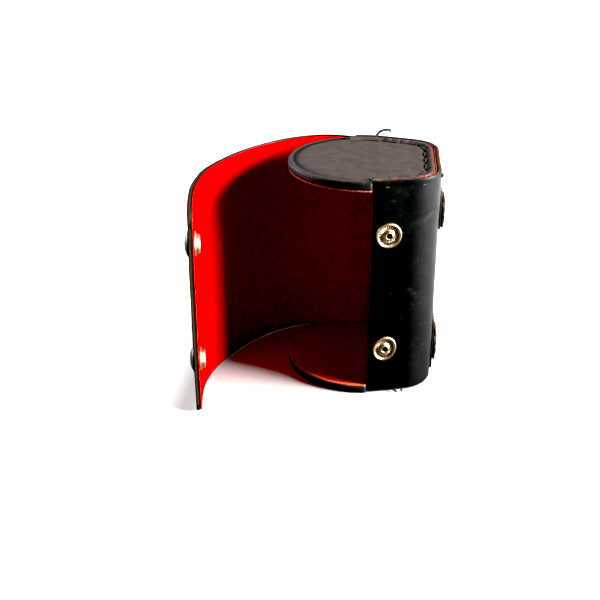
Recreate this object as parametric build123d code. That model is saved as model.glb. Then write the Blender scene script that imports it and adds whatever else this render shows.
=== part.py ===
"""Side-opening leather case, standing on end: a D-shaped fixed half with stitched end plates, and a snap-closed flap.

Millimetres, +Z up. The origin is on the floor, on the axis of the case's round side; +X points to the flat end.
The flap is drawn open, as it stands at rest. It is cut into short panels joined by upright hinge lines.
"""

import os
from math import atan2, cos, degrees, hypot, radians, sin

from build123d import *

os.makedirs("parts", exist_ok=True)

# Case outline, seen from above
ROUND_R = 40.0  # outside of the round side
CORNER_R = 18.0  # outside of the flat end's two corners
FLAT_X = 39.0  # outer face of the flat end
SIDE_SLOPE = 15.0  # degrees by which each side leans in towards the flat end
CORNER_X = FLAT_X - CORNER_R
CORNER_Y = (ROUND_R - CORNER_R - CORNER_X * sin(radians(SIDE_SLOPE))) / cos(radians(SIDE_SLOPE))

# Sheets
LEATHER_T = 2.2
FELT_T = 0.85
COVER_T = 1.2  # leather that covers the end plates
GLUE_GAP = 0.05  # between faces that are glued together
FLAP_HALF_T = (LEATHER_T + GLUE_GAP + FELT_T) / 2

# Heights
PLATE_TOP = 118.0
WALL_TOP = 119.0
WALL_BOTTOM = 1.5
PLATE_T = 4.0
PLATE_FELT_T = 0.95
BAND_TOP = 118.9

# Where the fixed wall ends, as angles round the origin
FRONT_EDGE = -82.0
BACK_EDGE = 98.8
TAB_END = 108.4
PLATE_BACK_STEP = 107.0
PLATE_FRONT_STEP = -82.8
PLATE_INSET = LEATHER_T + GLUE_GAP + FELT_T + 0.1
FOOT_INSET = 1.2  # of the bottom plate's edge where it shows below the wall

# Stitching
STITCH_INSET = 7.6
STITCH_LONG = 7.0
STITCH_PITCH = 10.4
THREAD_T = 0.9
BAND_WIDTH = 3.2

# Snaps: position along the sloping front side, measured from where the round side ends
SNAP_ALONG = 3.2
SNAP_HEIGHTS = {"upper": 90.5, "lower": 27.0}
SNAP_HOLE_R = 1.8
STUD_R = 6.5
STUD_DISH_R = 5.3
STUD_POST_H = 2.2
SOCKET_R = 6.1
SOCKET_BODY_R = 4.8
SOCKET_BORE_R = 3.4
SPRING_R = 3.1
SPRING_WIRE_R = 0.25
CAP_R = 6.6

# Flap: hinge lines when closed, then the open headings of its panels
HINGE_R = 42.6
FIRST_HINGE = 110.0
HINGE_STEP = 26.5
STAND_OFF = 3.2  # of the closed flap from the wall, at the snaps
SNAP_TO_HINGE = 14.5
SNAP_TO_EDGE = 9.0
OPEN_HEADING = 171.0
PANEL_TURNS = [27.0, 22.0, 17.0, 8.0, 8.0, 20.0]
TIP_HEADING = 278.0
PANEL_GAP = 0.6
TIP_FELT_START = 0.75  # so the linings do not meet when the flap is pressed on
FLAP_BOTTOM = 1.0
FLAP_TOP = 117.0
FLAP_SLANT_TOP = 115.0
TIP_CORNER_TOP = 110.0
TIP_CORNER_R = 7.0
TIP_BOTTOM_R = 3.0

# Strap loops on the flat end: bottom of patch, top of patch, bottom of loop, top of loop
LOOPS = {"upper": (85.0, 105.5, 86.5, 98.0), "lower": (3.0, 33.0, 9.0, 20.5)}
PATCH_T = 1.2
PATCH_HALF_W = 16.0
LOOP_T = 1.5
LOOP_HALF_W = 15.5
LOOP_ARCH_HALF_W = 8.5
LOOP_ARCH = 1.4
RIVET_Y = 13.0
RIVET_SHANK_R = 1.2
RIVET_HEAD_R = 2.4

FAR = 200.0


def polar(radius, angle):
    return (radius * cos(radians(angle)), radius * sin(radians(angle)))


def offset_point(start, heading, distance):
    step = polar(distance, heading)
    return (start[0] + step[0], start[1] + step[1])


SIDE_NORMAL = SIDE_SLOPE - 90.0  # outward, on the front side
SNAP_FOOT = offset_point(polar(ROUND_R, SIDE_NORMAL), SIDE_SLOPE, SNAP_ALONG)


def case_outline(inset=0.0):
    """The D shape seen from above, moved inwards by inset."""
    big = ROUND_R - inset
    small = CORNER_R - inset
    front = (CORNER_X, -CORNER_Y)
    back = (CORNER_X, CORNER_Y)
    front_tangent = offset_point(front, SIDE_NORMAL, small)
    back_tangent = offset_point(back, -SIDE_NORMAL, small)
    front_flat = (CORNER_X + small, -CORNER_Y)
    back_flat = (CORNER_X + small, CORNER_Y)
    edges = [
        ThreePointArc(polar(big, -SIDE_NORMAL), (-big, 0), polar(big, SIDE_NORMAL)),
        Line(polar(big, SIDE_NORMAL), front_tangent),
        ThreePointArc(front_tangent, offset_point(front, SIDE_NORMAL / 2, small), front_flat),
        Line(front_flat, back_flat),
        ThreePointArc(back_flat, offset_point(back, -SIDE_NORMAL / 2, small), back_tangent),
        Line(back_tangent, polar(big, -SIDE_NORMAL)),
    ]
    return make_face(edges)


def wedge(start, end):
    """Everything seen from the origin between two angles, anticlockwise."""
    steps = 8
    corners = [polar(FAR, start + (end - start) * k / steps) for k in range(steps + 1)]
    return make_face(Polyline((0, 0), *corners, (0, 0)))


def prism(face, bottom, top):
    return Pos(0, 0, bottom) * extrude(face, top - bottom)


def tab(inner_step, thickness):
    """The wall's back end, where the sheet steps outwards to pass round the end plates."""
    steps = 8
    inner = []
    outer = []
    for k in range(steps + 1):
        part_way = k / steps
        rise = part_way * part_way * (2.3 - 1.3 * part_way)
        angle = BACK_EDGE + (TAB_END - BACK_EDGE) * part_way
        closed_inner = HINGE_R + FLAP_HALF_T - LEATHER_T - inner_step
        start_inner = ROUND_R - LEATHER_T - inner_step
        radius = start_inner + (closed_inner - start_inner) * rise
        inner.append(polar(radius, angle))
        outer.append(polar(radius + thickness, angle))
    return make_face(Polyline(*inner, *reversed(outer), inner[0]))


def wall_sheet(outer_inset, thickness):
    ring = case_outline(outer_inset) - case_outline(outer_inset + thickness)
    ring = ring & wedge(FRONT_EDGE, BACK_EDGE + 0.2)
    return prism(ring + tab(outer_inset + thickness - LEATHER_T, thickness), WALL_BOTTOM, WALL_TOP)


def snap_plane(height, inset=0.0):
    """On the front side's outer face, looking outwards."""
    foot = offset_point(SNAP_FOOT, SIDE_NORMAL, -inset)
    return Plane(
        origin=(foot[0], foot[1], height),
        x_dir=(cos(radians(SIDE_SLOPE)), sin(radians(SIDE_SLOPE)), 0),
        z_dir=(cos(radians(SIDE_NORMAL)), sin(radians(SIDE_NORMAL)), 0),
    )


def wall_holes():
    holes = []
    for height in SNAP_HEIGHTS.values():
        holes.append(snap_plane(height) * Cylinder(SNAP_HOLE_R, 12))
    for patch_low, patch_high, loop_low, loop_high in LOOPS.values():
        for side in (-1, 1):
            middle = (loop_low + loop_high) / 2
            hole = Cylinder(RIVET_SHANK_R + 0.1, 12, rotation=(0, 90, 0))
            holes.append(Pos(FLAT_X, side * RIVET_Y, middle) * hole)
    return holes


def plate_outline(round_inset, wall_inset):
    """An end plate: flush with the wall's outside on the round side, inside the wall elsewhere."""
    rounded = case_outline(round_inset) & wedge(PLATE_BACK_STEP, 360 + PLATE_FRONT_STEP)
    return rounded + case_outline(wall_inset)


def plate_cover(flip):
    """Leather round an end plate's board, open on the felt side. Drawn as the top plate."""
    bottom = PLATE_TOP - PLATE_T
    cover = prism(plate_outline(0, PLATE_INSET), bottom, PLATE_TOP)
    pocket = plate_outline(COVER_T, PLATE_INSET + COVER_T)
    cover -= prism(pocket, bottom - 1, PLATE_TOP - COVER_T)
    if flip:
        return cover.mirror(Plane.XY.offset(PLATE_TOP / 2))
    return cover


def plate_board(flip):
    top = PLATE_TOP - COVER_T - GLUE_GAP
    bottom = PLATE_TOP - PLATE_T
    face = plate_outline(COVER_T + GLUE_GAP, PLATE_INSET + COVER_T + GLUE_GAP)
    board = prism(face, bottom, top)
    if flip:
        return board.mirror(Plane.XY.offset(PLATE_TOP / 2))
    return board


def plate_felt(flip):
    top = PLATE_TOP - PLATE_T - GLUE_GAP
    felt = prism(plate_outline(0.3, PLATE_INSET + 0.1), top - PLATE_FELT_T, top)
    if flip:
        return felt.mirror(Plane.XY.offset(PLATE_TOP / 2))
    return felt


def right_side(low_angle=FRONT_EDGE + 1, high_angle=BACK_EDGE - 1):
    return wedge(low_angle, high_angle)


def seam_band():
    """The plate's stitched edge, standing a little proud inside the wall."""
    outer = case_outline(PLATE_INSET)
    inner = case_outline(PLATE_INSET + BAND_WIDTH)
    return prism((outer - inner) & right_side(), PLATE_TOP, BAND_TOP)


def foot_rim():
    """The bottom plate's edge where it shows below the wall."""
    ring = case_outline(FOOT_INSET) - case_outline(PLATE_INSET + 0.5)
    return prism(ring & right_side(), 0, WALL_BOTTOM - 0.1)


def stitch_path():
    """The stitch line round the flat end, from the front notch to the back one."""
    ring = case_outline(STITCH_INSET) & right_side(FRONT_EDGE + 4, BACK_EDGE - 2)
    outline = case_outline(STITCH_INSET).face().outer_wire()
    length = outline.length
    places = []
    count = int(length / STITCH_PITCH)
    for k in range(count):
        at = k / count
        point = outline.position_at(at)
        if ring.distance_to(point) < 0.01:
            tangent = outline.tangent_at(at)
            places.append((point, degrees(atan2(tangent.Y, tangent.X))))
    return places


def stitches(height):
    """Long stitches lying in the seam, as rounded bars."""
    bars = []
    for point, heading in stitch_path():
        bar = Box(STITCH_LONG, THREAD_T, THREAD_T * 0.7)
        bar = fillet(bar.edges().filter_by(Axis.X), 0.25)
        bars.append(Pos(point.X, point.Y, height) * Rot(0, 0, heading) * bar)
    return Compound(children=bars)


def stitch_grooves(height, depth):
    cuts = []
    for point, heading in stitch_path():
        cut = Box(STITCH_LONG + 0.6, THREAD_T + 0.4, depth * 2)
        cuts.append(Pos(point.X, point.Y, height) * Rot(0, 0, heading) * cut)
    return cuts


def turned(profile):
    """A solid of revolution about Z from points (radius, height)."""
    face = make_face(Polyline(*[(r, 0, z) for r, z in profile], (profile[0][0], 0, profile[0][1])))
    return revolve(face, Axis.Z)


def stud_plate():
    """The stud's nickel dish with a rolled rim and a ring of pressed ribs."""
    disc = turned([(2.0, 0.1), (STUD_R - 0.2, 0.1), (STUD_R, 0.4), (STUD_R, 1.2), (STUD_R - 0.35, 1.6),
                   (STUD_DISH_R + 0.35, 1.6), (STUD_DISH_R, 1.2), (STUD_DISH_R, 0.5), (2.0, 0.5)])
    rib = Pos(4.35, 0, 0.55) * Box(1.5, 0.3, 0.22)
    for place in PolarLocations(0, 26):
        disc += place * rib
    return disc


def stud_post():
    """The stud's hollow rivet: a raised post outside, a shank through the wall, a flange inside."""
    inside = -(PLATE_INSET + 0.75)
    return turned([(0.9, inside - 0.5), (3.2, inside - 0.5), (3.2, inside), (1.7, inside), (1.7, 0.55),
                   (2.5, 0.55), (2.5, 1.2), (2.2, STUD_POST_H - 0.3), (1.8, STUD_POST_H), (1.2, STUD_POST_H),
                   (0.9, STUD_POST_H - 0.3)])


def stud_washer():
    inside = -(PLATE_INSET + 0.05)
    return turned([(1.85, inside - 0.65), (4.8, inside - 0.65), (4.8, inside), (1.85, inside)])


def flap_hinges_closed():
    """The flap's hinge lines with the flap shut, from the wall's back end to the last one before the snaps."""
    points = [polar(HINGE_R, FIRST_HINGE + HINGE_STEP * k) for k in range(len(PANEL_TURNS))]
    last = polar(ROUND_R + STAND_OFF + FLAP_HALF_T, SIDE_NORMAL)
    points.append(offset_point(last, SIDE_SLOPE, SNAP_ALONG - SNAP_TO_HINGE))
    return points


def panel_chords():
    points = flap_hinges_closed()
    return [hypot(b[0] - a[0], b[1] - a[1]) for a, b in zip(points, points[1:])]


def open_places():
    """Where each panel starts and heads with the flap open, as (point, chord heading)."""
    place = polar(HINGE_R, FIRST_HINGE)
    heading = OPEN_HEADING
    places = []
    for chord, turn in zip(panel_chords(), PANEL_TURNS):
        places.append((place, heading + turn / 2))
        place = offset_point(place, heading + turn / 2, chord)
        heading += turn
    places.append((place, TIP_HEADING))
    return places


def curved_strip(chord, turn, outer, inner):
    """A panel's section: from the origin along +X, curling to +Y, between two offsets from its middle line."""
    radius = chord / 2 / sin(radians(turn / 2))
    centre = (chord / 2, radius * cos(radians(turn / 2)))
    margin = degrees(PANEL_GAP / 2 / radius)
    start = -90 - turn / 2 + margin
    end = -90 + turn / 2 - margin

    def arc(offset):
        ends = [offset_point(centre, a, radius + offset) for a in (start, (start + end) / 2, end)]
        return ends

    out = arc(outer)
    inn = arc(inner)
    edges = [
        ThreePointArc(*out),
        Line(out[2], inn[2]),
        ThreePointArc(*reversed(inn)),
        Line(inn[0], out[0]),
    ]
    return make_face(edges)


LAYERS = {
    "leather": (FLAP_HALF_T, FLAP_HALF_T - LEATHER_T),
    "felt": (FELT_T - FLAP_HALF_T, -FLAP_HALF_T),
}


def side_profile(corners):
    """A panel's side view, as a solid thick enough to trim the panel with."""
    face = make_face(Polyline(*[(x, 0, z) for x, z in corners], (corners[0][0], 0, corners[0][1])))
    return extrude(face, 12, dir=(0, 1, 0), both=True)


def curved_panel(index, layer):
    outer, inner = LAYERS[layer]
    chord = panel_chords()[index]
    strip = curved_strip(chord, PANEL_TURNS[index], outer, inner)
    panel = prism(strip, FLAP_BOTTOM, FLAP_TOP)
    if index == len(PANEL_TURNS) - 1:
        ends = [(-2, 0), (chord + 2, 0), (chord + 2, FLAP_SLANT_TOP), (-2, FLAP_TOP)]
        panel &= side_profile(ends)
    return panel


def tip_panel(layer):
    """The flap's flat end panel, with its rounded free corners and the holes for the snaps."""
    outer, inner = LAYERS[layer]
    start = PANEL_GAP / 2 if layer == "leather" else TIP_FELT_START
    length = SNAP_TO_HINGE + SNAP_TO_EDGE
    face = make_face(
        Polyline(
            (start, FLAP_BOTTOM),
            (length, FLAP_BOTTOM),
            (length, TIP_CORNER_TOP),
            (start, FLAP_SLANT_TOP),
            (start, FLAP_BOTTOM),
        )
    )
    free = face.vertices().sort_by(Axis.X)[-2:].sort_by(Axis.Y)
    face = fillet([free[1]], TIP_CORNER_R)
    free = [v for v in face.vertices() if v.X > length - 0.01 and v.Y < FLAP_BOTTOM + 0.01]
    face = fillet(free, TIP_BOTTOM_R)
    for height in SNAP_HEIGHTS.values():
        face -= Pos(SNAP_TO_HINGE, height) * Circle(SNAP_HOLE_R)
    panel = extrude(face, outer - inner)
    return Pos(0, -inner, 0) * Rot(90, 0, 0) * panel


def socket():
    """The flap's snap socket, seated on the felt at height 0 and opening upwards."""
    mouth = STAND_OFF - 0.7
    return turned([(1.85, 0), (SOCKET_R, 0), (SOCKET_R, 0.5), (SOCKET_BODY_R, 0.5), (SOCKET_BODY_R, mouth - 0.3),
                   (SOCKET_BODY_R - 0.3, mouth), (SOCKET_BORE_R, mouth), (SOCKET_BORE_R, 0.5), (1.85, 0.5)])


def socket_spring():
    return Pos(0, 0, 1.6) * Torus(SPRING_R, SPRING_WIRE_R)


def cap():
    """The snap's domed cap outside the flap, with the shank that holds the socket."""
    base = -2 * FLAP_HALF_T
    return turned([(0, base - 2.1), (2.2, base - 2.0), (4.4, base - 1.5), (5.9, base - 0.8), (CAP_R, base - 0.3),
                   (CAP_R - 0.1, base), (1.7, base), (1.7, 0.55), (2.4, 0.55), (2.4, 0.85), (0, 0.85)])


def on_tip(height, solid):
    """Puts a snap piece, drawn with +Z to the felt side, on the end panel."""
    seat = Plane(origin=(SNAP_TO_HINGE, FLAP_HALF_T, height), x_dir=(1, 0, 0), z_dir=(0, 1, 0))
    return seat * solid


def placed(index, solid):
    point, heading = open_places()[index]
    return Pos(point[0], point[1], 0) * Rot(0, 0, heading) * solid


def loop_band(low, high):
    """A strap loop: a leather band, riveted flat at both ends and arched in the middle."""
    seat = FLAT_X + PATCH_T + 0.05
    ramp = 2.0
    under = [(seat, -LOOP_HALF_W), (seat, -LOOP_ARCH_HALF_W - ramp), (seat + LOOP_ARCH, -LOOP_ARCH_HALF_W),
             (seat + LOOP_ARCH, LOOP_ARCH_HALF_W), (seat, LOOP_ARCH_HALF_W + ramp), (seat, LOOP_HALF_W)]
    over = [(x + LOOP_T, y) for x, y in reversed(under)]
    band = prism(make_face(Polyline(*under, *over, under[0])), low, high)
    for side in (-1, 1):
        hole = Cylinder(RIVET_SHANK_R + 0.1, 20, rotation=(0, 90, 0))
        band -= Pos(seat, side * RIVET_Y, (low + high) / 2) * hole
    return band


def loop_patch(low, high, rivet_height):
    patch = Pos(FLAT_X + 0.05 + PATCH_T / 2, 0, (low + high) / 2) * Box(PATCH_T, 2 * PATCH_HALF_W, high - low)
    patch = fillet(patch.edges().filter_by(Axis.X), 2.5)
    for side in (-1, 1):
        hole = Cylinder(RIVET_SHANK_R + 0.1, 20, rotation=(0, 90, 0))
        patch -= Pos(FLAT_X, side * RIVET_Y, rivet_height) * hole
    return patch


def loop_rivet(side, height):
    """A rivet with a low dome outside and a flat head on the felt."""
    outside = PATCH_T + LOOP_T + 0.15
    inside = -(PLATE_INSET + 0.02)
    rivet = turned([(0, outside + 0.7), (1.2, outside + 0.62), (2.0, outside + 0.3), (RIVET_HEAD_R, outside),
                    (RIVET_SHANK_R, outside), (RIVET_SHANK_R, inside), (2.3, inside), (2.3, inside - 0.4),
                    (0, inside - 0.4)])
    return Plane(origin=(FLAT_X, side * RIVET_Y, height), x_dir=(0, 1, 0), z_dir=(1, 0, 0)) * rivet


def case_nodes():
    leather = wall_sheet(0.0, LEATHER_T)
    felt = wall_sheet(LEATHER_T + GLUE_GAP, FELT_T)
    for hole in wall_holes():
        leather -= hole
        felt -= hole
    nodes = {"wall_leather": leather, "wall_felt": felt}
    top = plate_cover(False) + seam_band()
    bottom = plate_cover(True) + foot_rim()
    for groove in stitch_grooves(0, THREAD_T * 0.7 + 0.1):
        bottom -= groove
    nodes["top_leather"] = top
    nodes["top_board"] = plate_board(False)
    nodes["top_felt"] = plate_felt(False)
    nodes["bottom_leather"] = bottom
    nodes["bottom_board"] = plate_board(True)
    nodes["bottom_felt"] = plate_felt(True)
    nodes["top_thread"] = stitches(PLATE_TOP + THREAD_T * 0.35)
    nodes["bottom_thread"] = stitches(THREAD_T * 0.35 + 0.1)
    for name, height in SNAP_HEIGHTS.items():
        nodes[name + "_stud_dish"] = snap_plane(height) * stud_plate()
        nodes[name + "_stud_post"] = snap_plane(height) * stud_post()
        nodes[name + "_stud_washer"] = snap_plane(height) * stud_washer()
    return nodes


def loop_nodes():
    nodes = {}
    for name, (low, high, loop_low, loop_high) in LOOPS.items():
        middle = (loop_low + loop_high) / 2
        nodes[name + "_loop_patch"] = loop_patch(low, high, middle)
        nodes[name + "_strap_loop"] = loop_band(loop_low, loop_high)
        nodes[name + "_loop_front_rivet"] = loop_rivet(-1, middle)
        nodes[name + "_loop_back_rivet"] = loop_rivet(1, middle)
    return nodes


def flap_nodes():
    nodes = {}
    last = len(PANEL_TURNS)
    for layer in LAYERS:
        for index in range(last):
            nodes[f"flap_{index + 1}_{layer}"] = placed(index, curved_panel(index, layer))
        nodes[f"flap_tip_{layer}"] = placed(last, tip_panel(layer))
    for name, height in SNAP_HEIGHTS.items():
        nodes[name + "_socket"] = placed(last, on_tip(height, socket()))
        nodes[name + "_socket_spring"] = placed(last, on_tip(height, socket_spring()))
        nodes[name + "_cap"] = placed(last, on_tip(height, cap()))
    return nodes


nodes = {**case_nodes(), **loop_nodes(), **flap_nodes()}
for name, solid in nodes.items():
    export_step(solid, f"parts/{name}.step")
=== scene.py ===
"""The looks of the side-opening leather case: felt-lined sheets, stitched end plates, snaps and strap loops.

Shapes are drawn in millimetres in the part's own frame and turned into metres when each mesh is made.
"""

import math

import bpy
import numpy as np
from mathutils import Matrix, Vector, noise


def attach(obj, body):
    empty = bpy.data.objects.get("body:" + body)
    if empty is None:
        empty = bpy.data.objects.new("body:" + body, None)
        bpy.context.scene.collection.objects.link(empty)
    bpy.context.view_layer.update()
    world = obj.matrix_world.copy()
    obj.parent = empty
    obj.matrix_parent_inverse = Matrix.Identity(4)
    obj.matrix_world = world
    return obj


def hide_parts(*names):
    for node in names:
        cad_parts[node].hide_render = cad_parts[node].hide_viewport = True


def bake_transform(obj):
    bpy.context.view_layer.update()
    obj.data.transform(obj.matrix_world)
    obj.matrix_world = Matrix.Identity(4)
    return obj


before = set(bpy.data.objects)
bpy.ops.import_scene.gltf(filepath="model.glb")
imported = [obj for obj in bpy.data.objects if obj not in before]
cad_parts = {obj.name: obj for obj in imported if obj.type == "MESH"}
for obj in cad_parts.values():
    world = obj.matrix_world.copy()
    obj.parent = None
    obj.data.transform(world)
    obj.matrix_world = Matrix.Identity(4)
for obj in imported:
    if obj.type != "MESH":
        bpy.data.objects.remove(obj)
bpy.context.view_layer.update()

# ---------------------------------------------------------------- dimensions, mm and degrees
# the D outline: its round side, corners, flat end and sloping straight sides
ROUND_R, CORNER_R, FLAT_X, SLOPE = 40.0, 18.0, 39.0, 15.0
CORNER_X = FLAT_X - CORNER_R
SLOPE_SIN, SLOPE_COS = math.sin(math.radians(SLOPE)), math.cos(math.radians(SLOPE))
CORNER_Y = (ROUND_R - CORNER_R - CORNER_X * SLOPE_SIN) / SLOPE_COS
SIDE_RUN = CORNER_X * SLOPE_COS - CORNER_Y * SLOPE_SIN

# sheets: outer and inner faces from the middle of the leather and its lining
HALF_T = 1.55
LEATHER = (HALF_T, HALF_T - 2.2)
FELT = (0.85 - HALF_T, -HALF_T)
FRONT_EDGE, BACK_EDGE = -82.0, 98.8
WALL_LOW, WALL_HIGH = 1.5, 119.0

# end plates: inset inside the wall, the notches where the wall ends, and how far in the edge keeps its shape
PLATE_INSET, PLATE_TOP = 3.2, 118.0
NOTCH_BACK, NOTCH_FRONT = 106.8, 277.2
STRAIGHT_IN, PLATE_MIDDLE = 15, (3.0, 0.0)
STITCH_INSET, STITCH_LONG, STITCH_PITCH = 7.6, 7.0, 10.4

# flap: the hinge lines' radius and start, the chords and turns between them, and the end panel
HINGE_R, FIRST_HINGE = ROUND_R + 2.6, 110.0
CHORD, LAST_CHORD = 19.53, 21.99
TURNS = [27.0, 22.0, 17.0, 8.0, 8.0, 20.0]
OPEN_HEADING, TIP_HEADING = 171.0, 278.0
FLAP_START, FLAP_STEP = -9.0, 0.25
SNAP_TO_HINGE, SNAP_ALONG, TIP_LONG = 14.5, 3.2, 23.5

# heights of the snaps, and of each strap loop's patch and band
SNAPS = {"upper": 90.5, "lower": 27.0}
LOOPS = {"upper": (85.0, 105.5, 86.5, 98.0), "lower": (3.0, 33.0, 9.0, 20.5)}


def unit(angle):
    return np.array([math.cos(math.radians(angle)), math.sin(math.radians(angle))])


def smooth(t):
    t = np.clip(t, 0, 1)
    return t * t * (3 - 2 * t)


def lumpy(x, y, z, size):
    """Smooth noise between about -1 and 1, with lumps of that size."""
    return noise.noise(Vector((x / size, y / size, z / size)))


# ---------------------------------------------------------------- meshes
INNER_UV = 300  # keeps a sheet's inner face on another part of the texture


def make_mesh(name, points, faces, materials, slots=None, uvs=None):
    mesh = bpy.data.meshes.new(name)
    mesh.from_pydata([(p[0] / 1000, p[1] / 1000, p[2] / 1000) for p in points], [], faces)
    for m in materials:
        mesh.materials.append(m)
    mesh.polygons.foreach_set("use_smooth", [True] * len(mesh.polygons))
    if slots is not None:
        mesh.polygons.foreach_set("material_index", slots)
    if uvs is not None:
        layer = mesh.uv_layers.new(name="UVMap")
        corners = np.empty(len(mesh.loops), np.int32)
        mesh.loops.foreach_get("vertex_index", corners)
        layer.data.foreach_set("uv", np.asarray(uvs, float)[corners].ravel() / 10)
    mesh.validate()
    mesh.update()
    obj = bpy.data.objects.new(name, mesh)
    bpy.context.scene.collection.objects.link(obj)
    return obj


def placed(obj, body, slot, *nodes):
    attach(obj, body)
    if nodes:
        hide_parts(*nodes)
    return obj


class Path:
    """A smooth line seen from above: its points, its headings and the lengths along it."""

    def __init__(self, points, headings, s):
        self.points, self.headings, self.s = np.array(points), np.array(headings), np.array(s)

    def at(self, s):
        """Point and heading at length s."""
        x = np.interp(s, self.s, self.points[:, 0])
        y = np.interp(s, self.s, self.points[:, 1])
        return np.array([x, y]), float(np.interp(s, self.s, self.headings))


def legs_path(start, heading, legs, step=1.5):
    """The path from start along legs, each a length and the angle it turns through."""
    point, s = np.array(start, float), 0.0
    points, headings, lengths = [point], [heading], [s]
    for length, turn in legs:
        count = max(1, math.ceil(length / step))
        half = turn / count / 2
        for _ in range(count):
            point = point + unit(heading + half) * (length / count)
            heading += 2 * half
            s += length / count
            points.append(point)
            headings.append(heading)
            lengths.append(s)
    return Path(points, headings, lengths)


def case_path(inset, start_angle=FRONT_EDGE, end_angle=BACK_EDGE, step=1.5):
    """Round the flat end, anticlockwise, from one angle on the round side to the other."""
    big, small = ROUND_R - inset, CORNER_R - inset
    first, last = -90 + SLOPE - start_angle, end_angle - 90 + SLOPE
    corner = math.radians(90 - SLOPE) * small
    legs = [(math.radians(first) * big, first), (SIDE_RUN, 0), (corner, 90 - SLOPE), (2 * CORNER_Y, 0),
            (corner, 90 - SLOPE), (SIDE_RUN, 0), (math.radians(last) * big, last)]
    return legs_path(unit(start_angle) * big, start_angle + 90, legs, step)


def between(lengths):
    return [(a + b) / 2 for a, b in zip(lengths, lengths[1:])]


def flap_path():
    """The open flap's middle line, the lengths at which its hinge lines cross it, and its end.

    The heading is smoothed along the flap, and the line is then drawn back through the hinge lines.
    """
    hinges, heads, arcs = [unit(FIRST_HINGE) * HINGE_R], [], [0.0]
    heading = OPEN_HEADING
    for turn, chord in zip(TURNS, [CHORD] * 5 + [LAST_CHORD]):
        heads.append(heading + turn / 2)
        hinges.append(hinges[-1] + unit(heading + turn / 2) * chord)
        half = math.radians(turn / 2)
        arcs.append(arcs[-1] + chord * half / math.sin(half))
        heading += turn
    end = arcs[-1] + TIP_LONG
    knots = [FLAP_START, FLAP_START / 2, 0.0] + between(arcs) + [arcs[-1] + 9, end]
    turns = [188.8, 156.4, OPEN_HEADING] + heads + [TIP_HEADING - 1, TIP_HEADING + 1]
    fine = np.arange(FLAP_START, end + 0.01, FLAP_STEP)
    heading = np.interp(fine, knots, turns)
    width = 9
    for _ in range(2):
        padded = np.pad(heading, width, mode="reflect", reflect_type="odd")
        heading = np.convolve(padded, np.ones(2 * width + 1) / (2 * width + 1), "valid")
    points = np.cumsum(np.array([unit(h) for h in heading]) * FLAP_STEP, axis=0)
    home = int(round(-FLAP_START / FLAP_STEP))
    points += hinges[0] - points[home]
    drift = [hinge - [np.interp(arc, fine, points[:, i]) for i in (0, 1)] for hinge, arc in zip(hinges, arcs)]
    for i in (0, 1):
        points[:, i] += np.interp(fine, arcs, [d[i] for d in drift])
    return Path(points, heading, fine), arcs, end


def curled_sheet(name, path, stations, offsets, low, high, materials, push=None, pinch=(1, 1), row=2.5,
                 bevel=0.5):
    """A thick sheet standing on edge along a path, with rounded edges.

    offsets are its outer and inner faces, and low and high are heights as functions of s.

    The second material is the cut edge. push moves both faces along the normal, by s and height.
    pinch says which ends are free and rounded. bevel is how much is pared off the outer face at the top.
    """
    outer, inner = offsets
    r = min(0.6, (outer - inner) * 0.42)
    count = int((high(stations[0]) - low(stations[0])) / row)
    first, last = stations[0], stations[-1]
    samples = []
    for s in stations:
        near = min(s - first if pinch[0] else r + 1, last - s if pinch[1] else r + 1)
        samples.append((s, 0.0 if near > r else r - math.sqrt(max(0, r * r - (r - near) ** 2))))
    points, uvs, faces, slots = [], [], [], []
    loop = 0
    for s, p in samples:
        point, heading = path.at(s)
        normal = unit(heading - 90)
        bottom, top = low(s) + p, high(s) - p
        o1, o0 = outer - p, inner + p
        rows = [(o1, bottom + r + (top - bottom - 2 * r) * k / count) for k in range(count + 1)]
        edge = [(o1 - 0.4 * bevel, top - 0.4 * bevel), (o1 - bevel, top), (o0 + r * 0.9, top),
                (o0 + 0.3 * r, top - 0.3 * r)]
        back = [(o0, z) for _, z in reversed(rows)]
        foot = [(o0 + 0.3 * r, bottom + 0.3 * r), (o0 + r * 0.9, bottom), (o1 - r * 0.9, bottom),
                (o1 - 0.3 * r, bottom + 0.3 * r)]
        section = rows + edge + back + foot
        loop = len(section)
        for k, (offset, z) in enumerate(section):
            extra = push(s, z) if push else 0.0
            at = point + normal * (offset + extra)
            points.append((at[0], at[1], z))
            uvs.append((s + (0 if k < count + 3 else INNER_UV), z + offset))
    edge_rows = set(range(count + 1, count + 3)) | set(range(2 * count + 6, 2 * count + 8))
    for i in range(len(samples) - 1):
        for k in range(loop):
            n = (k + 1) % loop
            a, b = i * loop, (i + 1) * loop
            faces.append((a + k, b + k, b + n, a + n))
            slots.append(1 if k in edge_rows else 0)
    for i, wanted in ((0, pinch[0]), (len(samples) - 1, pinch[1])):
        if wanted:
            base = i * loop
            for k in range(count + 3):
                quad = (base + k, base + k + 1, base + (2 * count + 4 - k) % loop,
                        base + (2 * count + 5 - k) % loop)
                if len(set(quad)) == 4:
                    faces.append(quad if i == 0 else quad[::-1])
                    slots.append(1)
    return make_mesh(name, points, faces, materials, slots, uvs)


def stations_between(start, end, step=1.5, fine_start=False, fine_end=False):
    """Lengths along a path; close together at a rounded free end."""
    inside = list(np.linspace(start, end, max(2, int((end - start) / step)) + 1))
    if fine_start:
        inside += [start + d for d in (0.08, 0.25, 0.6, 1.0)]
    if fine_end:
        inside += [end - d for d in (0.08, 0.25, 0.6, 1.0, 1.5, 2.2, 3.2, 4.5, 5.8)]
    return sorted(set(round(s, 4) for s in inside))


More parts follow.
